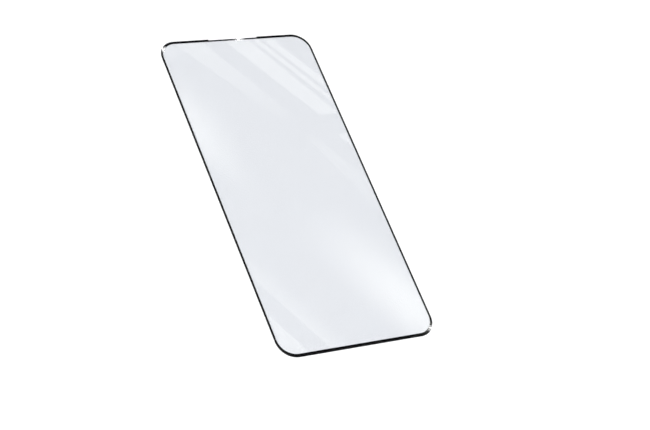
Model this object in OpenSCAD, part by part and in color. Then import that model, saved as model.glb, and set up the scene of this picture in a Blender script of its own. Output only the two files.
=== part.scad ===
// Screen protector for a phone: a sheet of tempered glass with a domed edge, a border
// printed on its underside and a film of clear adhesive that fills the window inside
// the border. It lies flat, as it comes to rest, with its adhesive face down.
// X is its width, +Y points at the earpiece end and +Z is up. The origin is the middle
// of the adhesive face. All sizes are in millimetres.

/* [Glass] */
// Width of the glass
glass_w = 68.5; // [55:0.5:90]
// Length of the glass
glass_l = 144; // [110:0.5:200]
// Thickness of the glass
glass_t = 0.33; // [0.25:0.01:0.6]
// Radius of the four corners, seen from above
corner_r = 7.6; // [4:0.1:15]
// How far in from the edge the top face starts to curve down
edge_run = 0.6; // [0.5:0.05:1.5]
// Height of the upright wall that is left below that curve
edge_wall = 0.13; // [0.1:0.01:0.2]

/* [Earpiece notch] */
// Length of the notch in the middle of the top edge
notch_l = 22; // [8:0.5:36]
// Depth of the notch
notch_d = 0.4; // [0.35:0.05:0.7]
// Radius of the notch's inner corners
notch_r = 0.2; // [0.1:0.05:0.3]

/* [Printed border] */
// Width of the border at each long side, from the edge of the glass
border_side = 0.85; // [0.5:0.05:3]
// Width of the border at the top end
border_top = 1.15; // [0.9:0.05:4]
// Width of the border at the bottom end
border_bottom = 1.35; // [0.9:0.05:6]
// Bare rim of glass that is left outside the print
print_rim = 0.1; // [0.05:0.01:0.15]
// Thickness of the ink
print_t = 0.03; // [0.02:0.005:0.06]

/* [Adhesive film] */
// Thickness of the film under the border
film_t = 0.15; // [0.1:0.01:0.3]
// How far the film stops short of the edge of the glass
film_rim = 0.3; // [0.2:0.05:0.45]
// Gap between the ink and the raised land of the film inside it
land_gap = 0.05; // [0.02:0.01:0.1]

/* [Hidden] */
$fn = 144;
// Radius of the curve that meets the top face with no step and ends at the wall
edge_drop = glass_t - edge_wall;
edge_r = (edge_run * edge_run + edge_drop * edge_drop) / (2 * edge_drop);
// Radius of the corners of the clear window, on the same centres as the glass's corners
window_r = corner_r - border_side;
// Heights of the underside of the ink and of the glass
print_z = film_t;
glass_z = film_t + print_t;
// How far a cutter reaches past the surface that it opens
over = 1;

// Flat rectangle with round corners, between two opposite corners of its outline
module round_rect(low, high, r) {
    for (x = [low.x + r, high.x - r], y = [low.y + r, high.y - r])
        translate([x, y])
            circle(r);
    translate([low.x + r, low.y])
        square([high.x - low.x - 2 * r, high.y - low.y]);
    translate([low.x, low.y + r])
        square([high.x - low.x, high.y - low.y - 2 * r]);
}

// Plan of the notch, open at the top edge, for an outline that lies inset from the glass
module notch_plan(inset) {
    half = notch_l / 2 + inset;
    r = notch_r + inset;
    back = glass_l / 2 - notch_d - inset;
    reach = notch_d + inset + over;
    for (side = [-1, 1])
        translate([side * (half - r), back + r])
            circle(r);
    translate([r - half, back])
        square([2 * (half - r), reach]);
    translate([-half, back + r])
        square([2 * half, reach - r]);
}

// Plan of the sheet with its notch, inset from the edge of the glass
module sheet_plan(inset) {
    corner = [glass_w / 2 - inset, glass_l / 2 - inset];
    difference() {
        round_rect(-corner, corner, corner_r - inset);
        notch_plan(inset);
    }
}

// Plan of the clear window inside the border
module window_plan(inset) {
    low = [border_side + inset - glass_w / 2, border_bottom + inset - glass_l / 2];
    high = [glass_w / 2 - border_side - inset, glass_l / 2 - border_top - inset];
    round_rect(low, high, window_r - inset);
}

// Section of the glass from the middle of a corner, at x = 0, out to its edge
module edge_section() {
    square([corner_r, edge_wall]);
    square([corner_r - edge_run, glass_t]);
    intersection() {
        square([corner_r, glass_t]);
        translate([corner_r - edge_run, glass_t - edge_r])
            circle(edge_r);
    }
}

// Straight length of the domed edge, centred, with its outer side towards +X
module edge_bar(length) {
    rotate([90, 0, 0])
        translate([0, 0, -length / 2])
            linear_extrude(length)
                edge_section();
}

// The whole sheet before the notch is cut: a core, four edges and four corners
module domed_sheet() {
    x = glass_w / 2 - corner_r;
    y = glass_l / 2 - corner_r;
    translate([-x, -y, 0])
        cube([2 * x, 2 * y, glass_t]);
    for (turn = [0, 180])
        rotate([0, 0, turn]) {
            translate([x, 0, 0])
                edge_bar(2 * y);
            translate([0, y, 0])
                rotate([0, 0, 90])
                    edge_bar(2 * x);
            translate([x, y, 0])
                rotate_extrude(angle = 90)
                    edge_section();
            translate([-x, y, 0])
                rotate([0, 0, 90])
                    rotate_extrude(angle = 90)
                        edge_section();
        }
}

// Section of what the grinding takes off along the notch, with the notch's wall at x = r
module grind_section(r) {
    difference() {
        translate([0, edge_wall])
            square([r + edge_run, edge_drop + over]);
        translate([r + edge_run, glass_t - edge_r])
            circle(edge_r);
    }
}

// What the grinding takes off along the notch: its back, its inner corners and its ends
module notch_grind() {
    x = notch_l / 2 - notch_r;
    y = glass_l / 2 - notch_d + notch_r;
    translate([-x, y, 0])
        rotate([90, 0, 90])
            linear_extrude(2 * x)
                mirror([1, 0])
                    grind_section(notch_r);
    for (side = [0, 1])
        mirror([side, 0, 0])
            translate([x, y, 0]) {
                rotate([0, 0, -90])
                    rotate_extrude(angle = 90)
                        grind_section(notch_r);
                translate([0, notch_d + over, 0])
                    rotate([90, 0, 0])
                        linear_extrude(notch_d + over)
                            grind_section(notch_r);
            }
}

module glass_sheet() {
    color([0.89, 0.92, 0.94, 0.4])
        translate([0, 0, glass_z])
            difference() {
                domed_sheet();
                translate([0, 0, -over])
                    linear_extrude(glass_t + 2 * over)
                        notch_plan(0);
                notch_grind();
            }
}

module border_print() {
    color([0.02, 0.02, 0.025])
        translate([0, 0, print_z])
            linear_extrude(print_t)
                difference() {
                    sheet_plan(print_rim);
                    window_plan(0);
                }
}

module adhesive_film() {
    color([0.93, 0.95, 0.96, 0.3]) {
        linear_extrude(film_t)
            sheet_plan(film_rim);
        translate([0, 0, film_t])
            linear_extrude(print_t)
                window_plan(land_gap);
    }
}

adhesive_film();
border_print();
glass_sheet();
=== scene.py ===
import math
import bpy
from mathutils import Matrix, Vector


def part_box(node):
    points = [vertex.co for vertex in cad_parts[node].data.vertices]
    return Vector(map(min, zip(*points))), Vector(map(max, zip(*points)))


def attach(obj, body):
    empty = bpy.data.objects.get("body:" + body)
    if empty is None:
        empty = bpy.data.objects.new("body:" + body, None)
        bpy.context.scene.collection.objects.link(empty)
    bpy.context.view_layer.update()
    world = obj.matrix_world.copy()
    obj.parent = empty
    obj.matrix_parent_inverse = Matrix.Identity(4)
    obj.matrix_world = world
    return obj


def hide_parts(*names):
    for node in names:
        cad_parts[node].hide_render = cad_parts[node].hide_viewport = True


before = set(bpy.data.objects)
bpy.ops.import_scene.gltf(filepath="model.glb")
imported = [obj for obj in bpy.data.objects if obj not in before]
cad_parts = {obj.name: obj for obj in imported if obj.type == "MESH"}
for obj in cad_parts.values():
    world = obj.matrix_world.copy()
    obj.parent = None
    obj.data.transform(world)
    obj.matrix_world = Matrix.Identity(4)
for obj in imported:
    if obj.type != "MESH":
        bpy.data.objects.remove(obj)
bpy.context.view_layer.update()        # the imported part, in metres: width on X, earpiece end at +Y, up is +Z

mm = 0.001
print("frame loaded:", len(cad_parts), "nodes")


# what the pieces share, in mm

sheet = {
    "cornerRadius": 7.6,      # of the glass, seen from above
    "cornerSteps": 28,        # faces round each corner
    "notchLength": 22.0,      # earpiece notch in the middle of the top edge
    "notchDepth": 0.4,
    "notchRadius": 0.2,       # of its inner corners
    "notchSteps": 10,
    "wetting": 0.004,         # how far ink and film reach into the glass that they wet
    "over": 1.0,              # how far a cutter reaches past what it cuts
    "smoothBelow": 30,        # degrees between faces that still shade as one curve
}


def linear(hexCode):
    # sRGB hex to the linear colour that the shaders take
    channels = [int(hexCode[i:i + 2], 16) / 255 for i in (1, 3, 5)]
    return [c / 12.92 if c <= 0.04045 else ((c + 0.055) / 1.055) ** 2.4 for c in channels] + [1.0]


def addNode(tree, kind, settings=None, links=None):
    # one node with its settings; each link gives an input a plain value or another node's output
    node = tree.nodes.new(kind)
    for name, value in (settings or {}).items():
        setattr(node, name, value)
    for socket, source in (links or {}).items():
        if isinstance(source, bpy.types.NodeSocket):
            tree.links.new(source, node.inputs[socket])
        else:
            node.inputs[socket].default_value = source
    return node


def newMaterial(name):
    material = bpy.data.materials.new(name)
    material.use_nodes = True
    material.node_tree.nodes.clear()
    return material


def pick(kind, chosen):
    # selects the edges or faces of the piece in edit mode that chosen() accepts
    bpy.ops.mesh.select_mode(type=kind)
    bpy.ops.mesh.select_all(action="DESELECT")
    bpy.ops.object.mode_set(mode="OBJECT")
    mesh = bpy.context.object.data
    for part in mesh.edges if kind == "EDGE" else mesh.polygons:
        part.select = chosen(part, [mesh.vertices[i].co for i in part.vertices])
    bpy.ops.object.mode_set(mode="EDIT")


def roundedSlab(name, low, high, radius, steps, backOnly=False):
    # a block between two corners, its upright edges rounded: all four, or the two at low Y
    bpy.ops.object.select_all(action="DESELECT")
    bpy.ops.mesh.primitive_cube_add(size=1, location=(low + high) / 2, scale=high - low)
    bpy.ops.object.transform_apply(location=True, rotation=True, scale=True)
    slab = bpy.context.object
    slab.name = slab.data.name = name
    middle = (low.y + high.y) / 2
    halfHeight = (high.z - low.z) / 2
    bpy.ops.object.mode_set(mode="EDIT")
    pick("EDGE", lambda edge, ends: abs(ends[0].z - ends[1].z) > halfHeight
         and not (backOnly and ends[0].y > middle))
    bpy.ops.mesh.bevel(offset=radius, segments=steps, profile=0.5, affect="EDGES")
    bpy.ops.object.mode_set(mode="OBJECT")
    return slab


def combine(piece, tool, operation):
    # joins another block to the piece or cuts it out of the piece, and takes the block away
    modifier = piece.modifiers.new("combine", "BOOLEAN")
    modifier.operation = operation
    modifier.solver = "EXACT"
    modifier.object = tool
    bpy.ops.object.select_all(action="DESELECT")
    piece.select_set(True)
    bpy.context.view_layer.objects.active = piece
    bpy.ops.object.modifier_apply(modifier=modifier.name)
    bpy.data.objects.remove(tool)


def notchSlab(inset, bottom, top):
    # plan of the notch, open past the top edge, for an outline that lies inset from the glass
    half = (sheet["notchLength"] / 2 + inset) * mm
    back = glassHigh.y - (sheet["notchDepth"] + inset) * mm
    low = Vector((-half, back, bottom))
    high = Vector((half, glassHigh.y + sheet["over"] * mm, top))
    return roundedSlab("notchCutter", low, high, (sheet["notchRadius"] + inset) * mm,
                       sheet["notchSteps"], backOnly=True)


def finishPiece(piece, body, node, materials):
    # smooth curves with crisp edges, its finish, and its place in the part
    bpy.ops.object.select_all(action="DESELECT")
    piece.select_set(True)
    bpy.context.view_layer.objects.active = piece
    bpy.ops.object.shade_smooth_by_angle(angle=math.radians(sheet["smoothBelow"]))
    for material in materials:
        piece.data.materials.append(material)
    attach(piece, body)
    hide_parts(node)
    print(piece.name, "made with", len(piece.data.polygons), "faces")


glassLow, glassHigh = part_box("glass_sheet")
inkLow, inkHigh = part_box("border_print")
filmLow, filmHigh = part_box("adhesive_film")


# camera, at the photograph's angle

camera = {
    "place": (-0.3375, -0.3002, 0.5078),     # in m
    "turn": (35.829, -22.368, -22.617),      # degrees about X, Y and Z
    "lens": 97.24,
    "sensor": 36,                            # width in mm
}


def placeCamera():
    data = bpy.data.cameras.new("camera")
    data.lens = camera["lens"]
    data.sensor_width = camera["sensor"]
    eye = bpy.data.objects.new("camera", data)
    eye.location = camera["place"]
    eye.rotation_euler = [math.radians(angle) for angle in camera["turn"]]
    bpy.context.scene.collection.objects.link(eye)
    bpy.context.scene.camera = eye


placeCamera()
bpy.context.scene.view_settings.view_transform = "Standard"
print("camera placed")


# tempered glass: a flat sheet whose rim is ground to a dome and polished

glass = {
    "edgeWall": 0.13,         # upright wall left below the dome
    "edgeRun": 0.6,           # how far in from the edge the dome starts
    "domeSteps": 9,
    "flatRing": 1.0,          # level ring inside the dome, so that the face shades dead flat
    "levelNormal": 0.9,       # upright part of the normal from which a face counts as level
    "flatNormal": 0.999,      # and from which it belongs to the flat sheet, not to the edge
    "tint": "#EFEEF1",        # what a whole pass through the sheet lets through
    "patchTint": "#ECECF0",   # and where the coat lies thicker
    "edgeTint": "#DDEAEE",    # and through the ground edge
    "lampTint": "#FAFCFD",    # what one face lets through of a lamp's light
    "patchSize": 34,          # of the patches in the coat, in mm
    "patchDetail": 3.0,
    "patchBreakup": 0.55,     # how much finer patches break up the outline of the large ones
    "patchEdge": (0.3, 0.7),  # of the noise, from the smoothest coat to the roughest
    "coatRoughness": (0.012, 0.02),
    "edgeRoughness": (0.012, 0.09),
    "ior": 1.51,
}


# the dome is an arc that leaves the wall at a corner and ends level with the face
domeDrop = (glassHigh.z - glassLow.z) / mm - glass["edgeWall"]
domeRadius = (glass["edgeRun"] ** 2 + domeDrop ** 2) / (2 * domeDrop)


def domeProfile():
    # steps inward and upward along the arc
    start = math.asin(glass["edgeRun"] / domeRadius)
    turns = [start * (1 - i / glass["domeSteps"]) for i in range(glass["domeSteps"] + 1)]
    return [(domeRadius * (math.sin(a) - math.sin(b)) * mm,
             domeRadius * (math.cos(b) - math.cos(a)) * mm) for a, b in zip(turns, turns[1:])]


def modelGlass():
    steps = domeProfile()
    wallTop = glassLow.z + glass["edgeWall"] * mm
    piece = roundedSlab("tempered_glass", glassLow, Vector((glassHigh.x, glassHigh.y, wallTop)),
                        sheet["cornerRadius"] * mm, sheet["cornerSteps"])
    bpy.ops.object.mode_set(mode="EDIT")
    pick("FACE", lambda face, corners: face.normal.z > glass["levelNormal"])
    for inward, upward in steps:
        bpy.ops.mesh.inset(thickness=inward, depth=upward)
    bpy.ops.mesh.inset(thickness=glass["flatRing"] * mm, depth=0)
    bpy.ops.object.mode_set(mode="OBJECT")

    # the notch is ground with the same dome, so its cutter flares out towards the face
    over = sheet["over"] * mm
    cutter = notchSlab(glass["edgeRun"], glassHigh.z, glassHigh.z + over)
    bpy.ops.object.mode_set(mode="EDIT")
    pick("FACE", lambda face, corners: face.normal.z < -glass["levelNormal"])
    for inward, upward in reversed(steps):
        bpy.ops.mesh.inset(thickness=inward, depth=upward)
    bpy.ops.mesh.extrude_region_move(
        TRANSFORM_OT_translate={"value": (0, 0, glassLow.z - over - wallTop)})
    bpy.ops.object.mode_set(mode="OBJECT")
    combine(piece, cutter, "DIFFERENCE")
    return piece


def temperedGlass(name, tint, roughness):
    # Chemically toughened float glass with an oil-repellent coat. Float glass is dead flat, so
    # what it mirrors stays crisp, and the thin coat only breaks the gloss up a little in patches.
    material = newMaterial(name)
    tree = material.node_tree
    place = addNode(tree, "ShaderNodeTexCoord")
    patches = addNode(tree, "ShaderNodeTexNoise", links={
        "Vector": place.outputs["Object"], "Scale": 1 / (glass["patchSize"] * mm),
        "Detail": glass["patchDetail"], "Roughness": glass["patchBreakup"]})
    coat = addNode(tree, "ShaderNodeMapRange", links={
        "Value": patches.outputs["Fac"],
        "From Min": glass["patchEdge"][0], "From Max": glass["patchEdge"][1],
        "To Min": roughness[0], "To Max": roughness[1]})
    colour = addNode(tree, "ShaderNodeMix", {"data_type": "RGBA"}, {
        "Factor": patches.outputs["Fac"], "A": linear(tint), "B": linear(glass["patchTint"])})
    body = addNode(tree, "ShaderNodeBsdfPrincipled", links={
        "Base Color": colour.outputs["Result"], "Roughness": coat.outputs["Result"],
        "IOR": glass["ior"], "Transmission Weight": 1.0})
    # lamps and bounced light go straight through, tinted, as they do through so thin a sheet
    through = addNode(tree, "ShaderNodeBsdfTransparent", links={
        "Color": linear(glass["lampTint"])})
    path = addNode(tree, "ShaderNodeLightPath")
    light = addNode(tree, "ShaderNodeMath", {"operation": "MAXIMUM"}, {
        0: path.outputs["Is Shadow Ray"], 1: path.outputs["Is Diffuse Ray"]})
    surface = addNode(tree, "ShaderNodeMixShader", links={
        0: light.outputs[0], 1: body.outputs[0], 2: through.outputs[0]})
    addNode(tree, "ShaderNodeOutputMaterial", links={"Surface": surface.outputs[0]})
    return material


def makeGlass():
    piece = modelGlass()
    faceGlass = temperedGlass("temperedGlassCoated", glass["tint"], glass["coatRoughness"])
    edgeGlass = temperedGlass("temperedGlassGroundEdge", glass["edgeTint"], glass["edgeRoughness"])
    finishPiece(piece, "root", "glass_sheet", [faceGlass, edgeGlass])
    bpy.ops.object.mode_set(mode="EDIT")
    pick("FACE", lambda face, corners: abs(face.normal.z) < glass["flatNormal"])
    piece.active_material_index = 1
    bpy.ops.object.material_slot_assign()
    bpy.ops.object.mode_set(mode="OBJECT")


makeGlass()


# border print: black ink screened on the underside of the glass

border = {
    "side": 0.85,             # width at the long sides, from the edge of the glass
    "top": 1.15,              # at the earpiece end
    "bottom": 1.35,
    "rim": 0.1,               # bare glass outside the print
    "black": "#060607",
    "thinBlack": "#0C0C0E",   # thinner ink, where the screen's threads lay
    "threads": 0.35,          # their spacing in mm, drawn coarser than the real 0.08 so that it shows
    "threadDrift": 0.2,       # how far they stray from an even spacing
    "roughness": (0.32, 0.46),
    "relief": 0.004,          # of the weave, in mm
    "reliefShare": 0.15,      # how much of it the ink keeps as it levels out
    "specular": 0.04,
    "ior": 1.5,
}


def windowSlab(inset, bottom, top):
    # the clear window inside the border; its corners keep the centres of the glass's corners
    low = Vector((glassLow.x + (border["side"] + inset) * mm,
                  glassLow.y + (border["bottom"] + inset) * mm, bottom))
    high = Vector((glassHigh.x - (border["side"] + inset) * mm,
                   glassHigh.y - (border["top"] + inset) * mm, top))
    radius = sheet["cornerRadius"] - border["side"] - inset
    return roundedSlab("window", low, high, radius * mm, sheet["cornerSteps"])


def screenInk():
    # Two-part screen ink, cured to the glass. Seen through the glass that it wets it has no
    # sheen of its own and reads as one deep black; only its bare back shows the screen's weave.
    material = newMaterial("screenInkBlack")
    tree = material.node_tree
    place = addNode(tree, "ShaderNodeTexCoord")
    weave = addNode(tree, "ShaderNodeTexVoronoi", links={
        "Vector": place.outputs["Object"], "Scale": 1 / (border["threads"] * mm),
        "Randomness": border["threadDrift"]})
    shade = addNode(tree, "ShaderNodeMix", {"data_type": "RGBA"}, {
        "Factor": weave.outputs["Distance"],
        "A": linear(border["black"]), "B": linear(border["thinBlack"])})
    sheen = addNode(tree, "ShaderNodeMapRange", links={
        "Value": weave.outputs["Distance"],
        "To Min": border["roughness"][0], "To Max": border["roughness"][1]})
    relief = addNode(tree, "ShaderNodeBump", links={
        "Strength": border["reliefShare"], "Distance": border["relief"] * mm,
        "Height": weave.outputs["Distance"]})
    ink = addNode(tree, "ShaderNodeBsdfPrincipled", links={
        "Base Color": shade.outputs["Result"], "Roughness": sheen.outputs["Result"],
        "IOR": border["ior"], "Specular IOR Level": border["specular"],
        "Normal": relief.outputs["Normal"]})
    addNode(tree, "ShaderNodeOutputMaterial", links={"Surface": ink.outputs[0]})
    return material


def makeBorder():
    rim, over = border["rim"], sheet["over"] * mm
    wetTop = inkHigh.z + sheet["wetting"] * mm
    piece = roundedSlab("black_border", inkLow, Vector((inkHigh.x, inkHigh.y, wetTop)),
                        (sheet["cornerRadius"] - rim) * mm, sheet["cornerSteps"])
    combine(piece, windowSlab(0, inkLow.z - over, wetTop + over), "DIFFERENCE")
    combine(piece, notchSlab(rim, inkLow.z - over, wetTop + over), "DIFFERENCE")
    finishPiece(piece, "root", "border_print", [screenInk()])


makeBorder()


# adhesive film: a clear sheet under the border with a raised land that fills the window

film = {
    "rim": 0.3,               # how far it stops short of the edge of the glass
    "underInk": 0.15,         # thickness under the border
    "landGap": 0.05,          # between the ink and the land
    "clear": "#EDF2F5",
    "haze": "#E6ECF0",        # where the gel is a little cloudier
    "hazeSize": 9,            # of the cloudier patches, in mm
    "hazeDetail": 2.0,
    "roughness": (0.3, 0.45),
    "specular": 0.1,
    "ior": 1.41,
    "body": 0.05,             # share of what falls on it that it scatters
}


def clearAdhesive():
    # Pressure-sensitive silicone adhesive, coated and cured. Soft and water clear, with a breath
    # of haze that is a little uneven, like the surface of a gel.
    material = newMaterial("siliconeAdhesiveClear")
    tree = material.node_tree
    place = addNode(tree, "ShaderNodeTexCoord")
    gel = addNode(tree, "ShaderNodeTexNoise", links={
        "Vector": place.outputs["Object"], "Scale": 1 / (film["hazeSize"] * mm),
        "Detail": film["hazeDetail"]})
    haze = addNode(tree, "ShaderNodeMix", {"data_type": "RGBA"}, {
        "Factor": gel.outputs["Fac"], "A": linear(film["clear"]), "B": linear(film["haze"])})
    gloss = addNode(tree, "ShaderNodeMapRange", links={
        "Value": gel.outputs["Fac"],
        "To Min": film["roughness"][0], "To Max": film["roughness"][1]})
    gelBody = addNode(tree, "ShaderNodeBsdfPrincipled", links={
        "Base Color": haze.outputs["Result"], "Roughness": gloss.outputs["Result"],
        "IOR": film["ior"], "Specular IOR Level": film["specular"], "Alpha": film["body"]})
    addNode(tree, "ShaderNodeOutputMaterial", links={"Surface": gelBody.outputs[0]})
    return material


def makeFilm():
    rim, over = film["rim"], sheet["over"] * mm
    baseTop = filmLow.z + film["underInk"] * mm
    piece = roundedSlab("adhesive_film_clear", filmLow, Vector((filmHigh.x, filmHigh.y, baseTop)),
                        (sheet["cornerRadius"] - rim) * mm, sheet["cornerSteps"])
    combine(piece, notchSlab(rim, filmLow.z - over, baseTop + over), "DIFFERENCE")
    middle = (filmLow.z + baseTop) / 2
    land = windowSlab(film["landGap"], middle, filmHigh.z + sheet["wetting"] * mm)
    combine(piece, land, "UNION")
    finishPiece(piece, "root", "adhesive_film", [clearAdhesive()])


makeFilm()


# the studio, in m: a white sweep, one soft lamp overhead, and a dark ceiling with light streaks

studio = {
    "white": "#FFFFFF",
    "roomLight": 0.44,        # plain light from all round
    "lampPower": 76.0,        # in W
    "lampSize": 1.8,
    "lampPlace": (-0.4, -0.7, 3.0),
    "floorSize": 12,
    "floorDrop": 0.00002,     # how far below the film it lies
    "floorGrey": "#E6E6E6",
    "floorWhite": (0.28, 0.75),      # what the floor adds to its own lit colour, near and far off
    "floorReach": (0.8, 4.0),        # distances between which that rises
    "sweepTop": 0.34,         # sine of the height where the white sweep starts to fade
    "ceilingFrom": 0.62,      # and where the dark ceiling is reached
    "ceiling": 0.008,         # how bright that is
    "streakSize": (0.11, 1.4, 1),    # of the ceiling's light streaks, over their height
    "streakPlace": (0.06, 0, 0),
    "streakSlant": 35,        # degrees from the length of the sheet
    "streakDetail": 1.0,
    "streakBreakup": 0.4,     # how much finer streaks break up the large ones
    "streakEdge": (0.47, 0.52),      # of the noise, from no streak to a full one
    "streakGlow": 0.64,       # what they add to the dark ceiling
    "streakShade": -0.25,     # and to the white sweep
    "clearReach": (0.2, 0.35),       # how far from the middle of the cards they start
}


def seenRays(tree):
    # 1 for the rays that look at the background: the camera's, and those off or through a surface
    path = addNode(tree, "ShaderNodeLightPath")
    mirrored = addNode(tree, "ShaderNodeMath", {"operation": "MAXIMUM"}, {
        0: path.outputs["Is Camera Ray"], 1: path.outputs["Is Glossy Ray"]})
    seen = addNode(tree, "ShaderNodeMath", {"operation": "MAXIMUM"}, {
        0: mirrored.outputs[0], 1: path.outputs["Is Transmission Ray"]})
    return seen.outputs[0]


def ceilingStreaks(tree, direction, height):
    # 1 on streaks that run slantwise overhead, clear of the cards, and 0 for rays not mirrored
    overhead = addNode(tree, "ShaderNodeVectorMath", {"operation": "DIVIDE"}, {
        0: direction, 1: height})
    slanted = addNode(tree, "ShaderNodeMapping", {"vector_type": "TEXTURE"}, {
        "Vector": overhead.outputs[0], "Location": studio["streakPlace"],
        "Rotation": (0, 0, math.radians(studio["streakSlant"])), "Scale": studio["streakSize"]})
    bands = addNode(tree, "ShaderNodeTexNoise", links={
        "Vector": slanted.outputs["Vector"], "Scale": 1.0,
        "Detail": studio["streakDetail"], "Roughness": studio["streakBreakup"]})
    streak = addNode(tree, "ShaderNodeMapRange", {"interpolation_type": "SMOOTHSTEP"}, {
        "Value": bands.outputs["Fac"],
        "From Min": studio["streakEdge"][0], "From Max": studio["streakEdge"][1]})
    # the glass mirrors the camera's view up to the cards, away from the camera
    x, y, z = camera["place"]
    apart = addNode(tree, "ShaderNodeVectorMath", {"operation": "DISTANCE"}, {
        0: overhead.outputs[0], 1: (-x / z, -y / z, 1)})
    clear = addNode(tree, "ShaderNodeMapRange", {"interpolation_type": "SMOOTHSTEP"}, {
        "Value": apart.outputs["Value"],
        "From Min": studio["clearReach"][0], "From Max": studio["clearReach"][1]})
    path = addNode(tree, "ShaderNodeLightPath")
    mirrored = addNode(tree, "ShaderNodeMath", {"operation": "MULTIPLY"}, {
        0: path.outputs["Is Glossy Ray"], 1: clear.outputs["Result"]})
    shown = addNode(tree, "ShaderNodeMath", {"operation": "MULTIPLY"}, {
        0: mirrored.outputs[0], 1: streak.outputs["Result"]})
    return shown.outputs[0]


def makeRoom():
    world = bpy.data.worlds.new("studioRoom")
    world.use_nodes = True
    tree = world.node_tree
    tree.nodes.clear()
    direction = addNode(tree, "ShaderNodeTexCoord").outputs["Generated"]
    height = addNode(tree, "ShaderNodeSeparateXYZ", links={0: direction}).outputs["Z"]
    sweep = addNode(tree, "ShaderNodeMapRange", {"interpolation_type": "SMOOTHSTEP"}, {
        "Value": height, "From Min": studio["sweepTop"], "From Max": studio["ceilingFrom"],
        "To Min": 1.0, "To Max": studio["ceiling"]})
    change = addNode(tree, "ShaderNodeMapRange", links={
        "Value": sweep.outputs["Result"],
        "To Min": studio["streakGlow"], "To Max": studio["streakShade"]})
    backdrop = addNode(tree, "ShaderNodeMath", {"operation": "MULTIPLY_ADD"}, {
        0: ceilingStreaks(tree, direction, height), 1: change.outputs["Result"],
        2: sweep.outputs["Result"]})
    strength = addNode(tree, "ShaderNodeMix", {"data_type": "FLOAT"}, {
        "Factor": seenRays(tree), "A": studio["roomLight"], "B": backdrop.outputs[0]})
    light = addNode(tree, "ShaderNodeBackground", links={
        "Color": linear(studio["white"]), "Strength": strength.outputs["Result"]})
    addNode(tree, "ShaderNodeOutputWorld", links={"Surface": light.outputs[0]})
    bpy.context.scene.world = world


def sweepPaint():
    # Matt emulsion on a seamless sweep: no gloss at all, so it shows the sheet's soft shadow and
    # nothing mirrored. The lamp fades with distance, so the far floor adds more to stay white.
    material = newMaterial("paintedSweep")
    tree = material.node_tree
    paint = addNode(tree, "ShaderNodeBsdfDiffuse", links={"Color": linear(studio["floorGrey"])})
    place = addNode(tree, "ShaderNodeTexCoord")
    distance = addNode(tree, "ShaderNodeVectorMath", {"operation": "LENGTH"}, {
        0: place.outputs["Object"]})
    white = addNode(tree, "ShaderNodeMapRange", {"interpolation_type": "SMOOTHSTEP"}, {
        "Value": distance.outputs["Value"],
        "From Min": studio["floorReach"][0], "From Max": studio["floorReach"][1],
        "To Min": studio["floorWhite"][0], "To Max": studio["floorWhite"][1]})
    lift = addNode(tree, "ShaderNodeMath", {"operation": "MULTIPLY"}, {
        0: seenRays(tree), 1: white.outputs["Result"]})
    glow = addNode(tree, "ShaderNodeEmission", links={
        "Color": linear(studio["white"]), "Strength": lift.outputs[0]})
    both = addNode(tree, "ShaderNodeAddShader", links={0: paint.outputs[0], 1: glow.outputs[0]})
    addNode(tree, "ShaderNodeOutputMaterial", links={"Surface": both.outputs[0]})
    return material


def makeFloor():
    bpy.ops.object.select_all(action="DESELECT")
    bpy.ops.mesh.primitive_plane_add(size=studio["floorSize"], location=(0, 0, -studio["floorDrop"]))
    floor = bpy.context.object
    floor.name = "floor"
    floor.data.materials.append(sweepPaint())


def makeLamp():
    # a square softbox that only lights: what the glass mirrors is the ceiling and the cards
    data = bpy.data.lights.new("softLamp", "AREA")
    data.size = studio["lampSize"]
    data.energy = studio["lampPower"]
    lamp = bpy.data.objects.new("softLamp", data)
    lamp.location = studio["lampPlace"]
    lamp.rotation_euler = (-Vector(studio["lampPlace"])).to_track_quat("-Z", "Y").to_euler()
    lamp.visible_glossy = lamp.visible_transmission = False
    bpy.context.scene.collection.objects.link(lamp)


makeRoom()
makeFloor()
makeLamp()
print("studio made")


# white cards that the glass mirrors: each is given as the patch of glass, in mm from the middle,
# that it lights from the camera's place, and by how bright it is at those four corners

cards = {
    "height": 0.6,            # of all the cards above the floor, in m
    "white": "#FFFEF1",       # paper white, a little warmer than the glass's veil
    "softSteps": 16,          # parts along each side of a card that fades
    "hung": {
        "wideBand": (((-4.9, 71.6), (5.7, 71.6), (33.4, 31.1), (24.4, 31.1)), (1.4, 1.4, 1.4, 1.4)),
        "narrowBand": (((7.6, 71.6), (10.4, 71.6), (33.4, 39), (33.4, 35.5)), (1.5, 1.5, 1.5, 1.5)),
        "outerBand": (((12.6, 71), (17, 71), (33.4, 48.4), (33.4, 42.5)), (1.5, 1.5, 1.5, 1.5)),
        "faintBand": (((-27, 71), (-14.3, 71), (13, 31), (5.8, 31)), (1.1, 1.1, 0.3, 0.3)),
        "cornerBand": (((-33.4, 70.9), (-28.4, 70.9), (-25, 65), (-33.4, 60)), (0.9, 0.9, 0, 0)),
        "wedge": (((13.8, 21.5), (17.4, 21.5), (33.4, -0.7), (33.4, -18)), (0.5, 0.5, 0.5, 0.5)),
        "sideBand": (((28.4, 21.2), (33.4, 21.2), (33.4, 14), (33.4, 14)), (1.3, 1.3, 1.3, 1.3)),
        "lowBand": (((-33, -37.7), (-13, -70.9), (-4, -70.9), (-33, -20)), (1.2, 1.2, 0, 0)),
        "lowCorner": (((-33.4, -52), (-33.4, -70.9), (-22.5, -70.9), (-33.4, -52)),
                      (1.6, 1.6, 1.6, 1.6)),
    },
}


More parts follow.
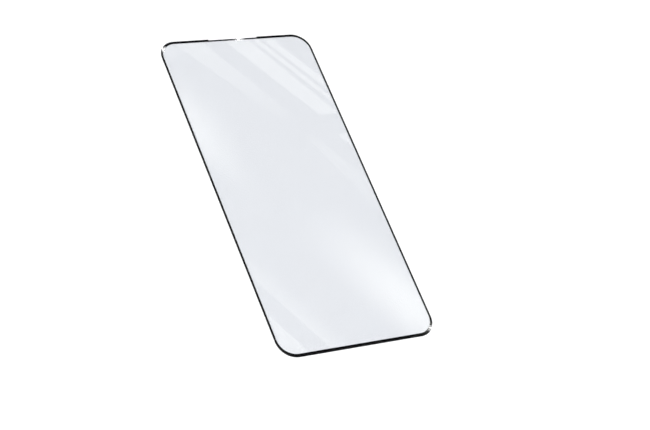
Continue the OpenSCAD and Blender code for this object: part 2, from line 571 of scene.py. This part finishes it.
def cardPaper():
    # matt white card lit from the front: an even white that ends at a crisp edge, or fades
    material = newMaterial("litCard")
    tree = material.node_tree
    glow = addNode(tree, "ShaderNodeAttribute", {"attribute_name": "glow"})
    light = addNode(tree, "ShaderNodeEmission", links={
        "Color": linear(cards["white"]), "Strength": glow.outputs["Fac"]})
    addNode(tree, "ShaderNodeOutputMaterial", links={"Surface": light.outputs[0]})
    material.cycles.emission_sampling = "NONE"
    return material


def across(values, u, v):
    # blends four corners' values over a card, u and v from 0 to 1
    a, b, c, d = values
    return (a * (1 - u) + b * u) * (1 - v) + (d * (1 - u) + c * u) * v


def eased(t):
    # from 0 to 1 with a slow start and a slow end
    return 3 * t * t - 2 * t ** 3


def makeCard(name, paper, corners, glow, ease=False):
    fades = len(set(glow)) > 1
    steps = cards["softSteps"] if fades else 1
    bpy.ops.object.select_all(action="DESELECT")
    bpy.ops.mesh.primitive_grid_add(x_subdivisions=steps, y_subdivisions=steps, size=1)
    card = bpy.context.object
    card.name = name
    levels = card.data.attributes.new("glow", "FLOAT", "POINT")
    places = [Vector(corner) * mm for corner in corners]
    for i, point in enumerate(card.data.vertices):
        u, v = point.co.x + 0.5, point.co.y + 0.5      # the grid is 1 wide, about its middle
        point.co = (*across(places, u, v), 0)
        if ease:
            u, v = eased(u), eased(v)
        levels.data[i].value = across(glow, u, v)
    # the glass mirrors the card to the camera where the line from its mirror image meets the glass
    eye = Vector(camera["place"])
    reach = (cards["height"] - glassHigh.z) / (eye.z - glassHigh.z)
    card.scale = (1 + reach, 1 + reach, 1)
    card.location = (-eye.x * reach, -eye.y * reach, cards["height"])
    card.data.materials.append(paper)
    # only mirrored rays meet it
    card.visible_camera = card.visible_diffuse = card.visible_transmission = card.visible_shadow = False


# broad glows: soft window lights, each brightest in the middle and gone where its four arms end

glows = {
    "windowGlow": {"middle": (30, -61), "glow": 3.1,
                   "arms": ((16.3, 9.8), (-35, 57), (-16.3, -9.8), (14, -23))},
    "sideGlow": {"middle": (-34, 31), "glow": 2.3,
                 "arms": ((21, -18), (3, 30), (-6, 2), (5, -32))},
}


def hangGlow(name, paper, middle, arms, glow):
    # four cards round the middle, one between each arm and the next
    middle, arms = Vector(middle), [Vector(arm) for arm in arms]
    for i, arm in enumerate(arms):
        after = arms[(i + 1) % len(arms)]
        corners = (middle, middle + arm, middle + arm + after, middle + after)
        makeCard(f"{name}{i + 1}", paper, corners, (glow, 0, 0, 0), ease=True)


# glints: rows of tiny strip lamps along the slope of the dome, each with a narrow beam to its own
# part of the slope, which the camera sees mirrored as a short flash across the black line

# in mm: the centre of a corner's bend, and where the dome starts from there and in the notch
cornerX = glassHigh.x / mm - sheet["cornerRadius"]
cornerY = glassHigh.y / mm - sheet["cornerRadius"]
cornerBend = sheet["cornerRadius"] - glass["edgeRun"]
notchStart = glassHigh.y / mm - sheet["notchDepth"] - glass["edgeRun"]

glints = {
    "distance": 1.5,          # from the edge to a lamp, in mm
    "faceReach": 0.6,         # the first lamp serves this much of the flat face before the dome
    "slopeReach": 0.07,       # and each of the others this much of the slope
    "slopeLamps": 8,
    "beam": 30,               # full angle of a lamp's beam, in degrees
    "fade": 2.4,              # power that its light falls off with, from its middle to its ends
    # for each: centre of the edge's bend or a point at the start of the dome, radius of the bend
    # there, which way the edge faces in degrees, and the length and middle brightness of the lamps
    "places": {
        "topLeft": {"centre": (-cornerX, cornerY), "bend": cornerBend,
                    "facing": 146, "length": 6.0, "glow": 26},
        "top": {"centre": (2.3, notchStart), "bend": 0,
                "facing": 90, "length": 7.0, "glow": 19},
        "bottomRight": {"centre": (cornerX, -cornerY), "bend": cornerBend,
                        "facing": -44, "length": 7.0, "glow": 18},
    },
}


def fadeEnds(data):
    # makes a lamp brightest in the middle of its length and dark at its ends
    data.use_nodes = True
    tree = data.node_tree
    tree.nodes.clear()
    place = addNode(tree, "ShaderNodeNewGeometry")
    along = addNode(tree, "ShaderNodeSeparateXYZ", links={0: place.outputs["Parametric"]})
    # twice the length, folded back at 1: it rises to the middle and falls again
    ends = addNode(tree, "ShaderNodeMapRange", links={"Value": along.outputs["Y"], "To Max": 2.0})
    rise = addNode(tree, "ShaderNodeMath", {"operation": "PINGPONG"}, {
        0: ends.outputs["Result"], 1: 1.0})
    fade = addNode(tree, "ShaderNodeMath", {"operation": "POWER"}, {
        0: rise.outputs[0], 1: glints["fade"]})
    light = addNode(tree, "ShaderNodeEmission", links={"Strength": fade.outputs[0]})
    addNode(tree, "ShaderNodeOutputLight", links={"Surface": light.outputs[0]})


def mirroredFrom(base, outward, out):
    # where a lamp lies, in mm, and the way to it, for a place of the edge that the camera sees
    tilt = math.asin(max(out, 0) / domeRadius)      # level before the dome starts
    up = Vector((0, 0, 1))
    normal = outward * math.sin(tilt) + up * math.cos(tilt)
    spot = base + outward * out - up * domeRadius * (1 - math.cos(tilt))
    view = (Vector(camera["place"]) / mm - spot).normalized()
    ahead = 2 * normal.dot(view) * normal - view
    return spot + ahead * glints["distance"], ahead


def hangGlint(name, centre, bend, facing, length, glow):
    turn = math.radians(facing)
    outward = Vector((math.cos(turn), math.sin(turn), 0))
    side = Vector((-outward.y, outward.x, 0))
    base = Vector((*centre, glassHigh.z / mm)) + outward * bend
    halfBeam = math.radians(glints["beam"]) / 2
    power = glow * math.pi * (1 - halfBeam / math.tan(halfBeam))     # of a lamp, over its area
    starts = [-glints["faceReach"]]
    starts += [i * glints["slopeReach"] for i in range(glints["slopeLamps"] + 1)]
    for i, (low, high) in enumerate(zip(starts, starts[1:])):
        first, last = (mirroredFrom(base, outward, out)[0] for out in (low, high))
        ahead = mirroredFrom(base, outward, (low + high) / 2)[1]
        data = bpy.data.lights.new(f"{name}Glint{i + 1}", "AREA")
        data.shape = "RECTANGLE"
        data.size, data.size_y = (last - first).length * mm, length * mm
        data.spread = 2 * halfBeam
        data.energy = power * data.size * data.size_y
        fadeEnds(data)
        lamp = bpy.data.objects.new(data.name, data)
        lamp.location = (first + last) / 2 * mm
        slope = side.cross(ahead).normalized()
        lamp.rotation_euler = Matrix((slope, ahead.cross(slope), ahead)).transposed().to_euler()
        lamp.visible_diffuse = lamp.visible_transmission = lamp.visible_camera = False
        bpy.context.scene.collection.objects.link(lamp)


paper = cardPaper()
for name, (corners, glow) in cards["hung"].items():
    makeCard(name, paper, corners, glow)
for name, glow in glows.items():
    hangGlow(name, paper, **glow)
for name, place in glints["places"].items():
    hangGlint(name, **place)
print("cards and glints hung")
